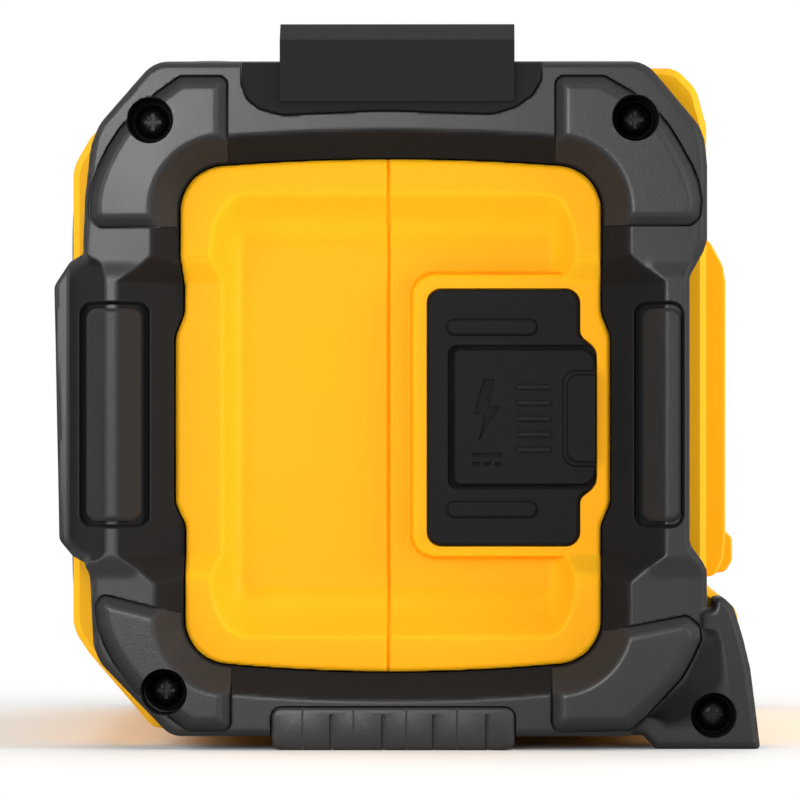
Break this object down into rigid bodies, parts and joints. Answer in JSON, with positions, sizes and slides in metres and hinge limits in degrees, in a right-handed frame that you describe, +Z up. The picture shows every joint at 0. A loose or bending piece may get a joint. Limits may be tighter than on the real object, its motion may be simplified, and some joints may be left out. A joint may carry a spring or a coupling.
{
  "type": "bluetooth speaker",
  "caption": "Rugged portable bluetooth speaker: yellow clamshell body, black end cages with bumpers and feet, front grille, top handle and keys, hinged USB flap and battery door",
  "frame": {"origin": "middle of the footprint, on the ground", "axes": "+X along the length towards the end with the USB flap, -Y to the front with the grille, +Z up"},
  "size_m": [0.2604, 0.1686, 0.1735],
  "materials": {
    "yellow_plastic": "satin moulded, fine grain",
    "black_plastic": "fine moulded grain",
    "pad_rubber": "matte, fine grain",
    "flap_rubber": "smooth matte",
    "button_rubber": "smooth matte",
    "black_screw": "black oxide",
    "steel_screw": "plain steel",
    "grille_steel": "black powder coat",
    "basket_steel": "black paint",
    "magnet_iron": "zinc plated plates on ferrite",
    "cone_paper": "pressed fibre",
    "coil_copper": "wound copper",
    "surround_rubber": "smooth",
    "spider_cloth": "resin treated weave",
    "circuit_board": "solder mask",
    "bright_metal": "tin plated",
    "heatsink_metal": "extruded",
    "lens_clear": "clear lens",
    "battery_plastic": "moulded"
  },
  "bodies": {
    "speaker": {"front_housing": "yellow_plastic", "rear_housing": "yellow_plastic", "top_deck": "black_plastic", "carry_handle": "black_plastic", "control_panel": "black_plastic", "cage_right": "black_plastic", "cage_left": "black_plastic", "grille_frame": "black_plastic", "corner_pads_right": "pad_rubber", "corner_pads_left": "pad_rubber", "bumper_pads_right": "pad_rubber", "bumper_pads_left": "pad_rubber", "foot_pad_right": "pad_rubber", "foot_pad_left": "pad_rubber", "handle_grip": "pad_rubber", "usb_plate": "flap_rubber", "cage_screws": "black_screw", "housing_screws": "black_screw", "handle_screws": "steel_screw", "driver_screws": "steel_screw", "board_screws": "steel_screw", "hinge_pin": "steel_screw", "grille": "grille_steel", "basket_right": "basket_steel", "basket_left": "basket_steel", "magnet_right": "magnet_iron", "magnet_left": "magnet_iron", "surround_right": "surround_rubber", "surround_left": "surround_rubber", "spider_right": "spider_cloth", "spider_left": "spider_cloth", "main_board": "circuit_board", "keypad_board": "circuit_board", "usb_board": "circuit_board", "bluetooth_module": "bright_metal", "usb_socket": "bright_metal", "heatsink": "heatsink_metal", "status_lens": "lens_clear", "battery_pack": "battery_plastic", "battery_terminals": "battery_plastic"},
    "usb_flap": {"usb_flap": "flap_rubber"},
    "battery_door": {"battery_door": "yellow_plastic"},
    "power_button": {"power_button": "button_rubber"},
    "pair_button": {"pair_button": "button_rubber"},
    "previous_button": {"previous_button": "button_rubber"},
    "play_button": {"play_button": "button_rubber"},
    "next_button": {"next_button": "button_rubber"},
    "volume_down_button": {"volume_down_button": "button_rubber"},
    "volume_up_button": {"volume_up_button": "button_rubber"},
    "cone_right": {"cone_right": "cone_paper", "dust_cap_right": "cone_paper", "voice_coil_right": "coil_copper"},
    "cone_left": {"cone_left": "cone_paper", "dust_cap_left": "cone_paper", "voice_coil_left": "coil_copper"}
  },
  "joints": [
    {"name": "usb_flap_hinge", "type": "hinge", "parent": "speaker", "child": "usb_flap", "pos_m": [0.1135, 0.0119, 0.0795], "axis": [0, 0, -1], "range_deg": [0, 110]},
    {"name": "battery_door_hinge", "type": "hinge", "parent": "speaker", "child": "battery_door", "pos_m": [0, 0.0732, 0.1158], "axis": [1, 0, 0], "range_deg": [0, 100]},
    {"name": "power_press", "type": "slide", "parent": "speaker", "child": "power_button", "axis": [0, 0, -1], "range_m": [0, 0.0008], "stiffness_N_per_m": 1500},
    {"name": "pair_press", "type": "slide", "parent": "speaker", "child": "pair_button", "axis": [0, 0, -1], "range_m": [0, 0.0008], "stiffness_N_per_m": 1500},
    {"name": "previous_press", "type": "slide", "parent": "speaker", "child": "previous_button", "axis": [0, 0, -1], "range_m": [0, 0.0008], "stiffness_N_per_m": 1500},
    {"name": "play_press", "type": "slide", "parent": "speaker", "child": "play_button", "axis": [0, 0, -1], "range_m": [0, 0.0008], "stiffness_N_per_m": 1500},
    {"name": "next_press", "type": "slide", "parent": "speaker", "child": "next_button", "axis": [0, 0, -1], "range_m": [0, 0.0008], "stiffness_N_per_m": 1500},
    {"name": "volume_down_press", "type": "slide", "parent": "speaker", "child": "volume_down_button", "axis": [0, 0, -1], "range_m": [0, 0.0008], "stiffness_N_per_m": 1500},
    {"name": "volume_up_press", "type": "slide", "parent": "speaker", "child": "volume_up_button", "axis": [0, 0, -1], "range_m": [0, 0.0008], "stiffness_N_per_m": 1500},
    {"name": "cone_right_throw", "type": "slide", "parent": "speaker", "child": "cone_right", "axis": [0, -1, 0], "range_m": [-0.002, 0.002], "stiffness_N_per_m": 900, "deforming": ["surround_right", "spider_right"]},
    {"name": "cone_left_throw", "type": "slide", "parent": "speaker", "child": "cone_left", "axis": [0, -1, 0], "range_m": [-0.002, 0.002], "stiffness_N_per_m": 900, "deforming": ["surround_left", "spider_left"]}
  ]
}
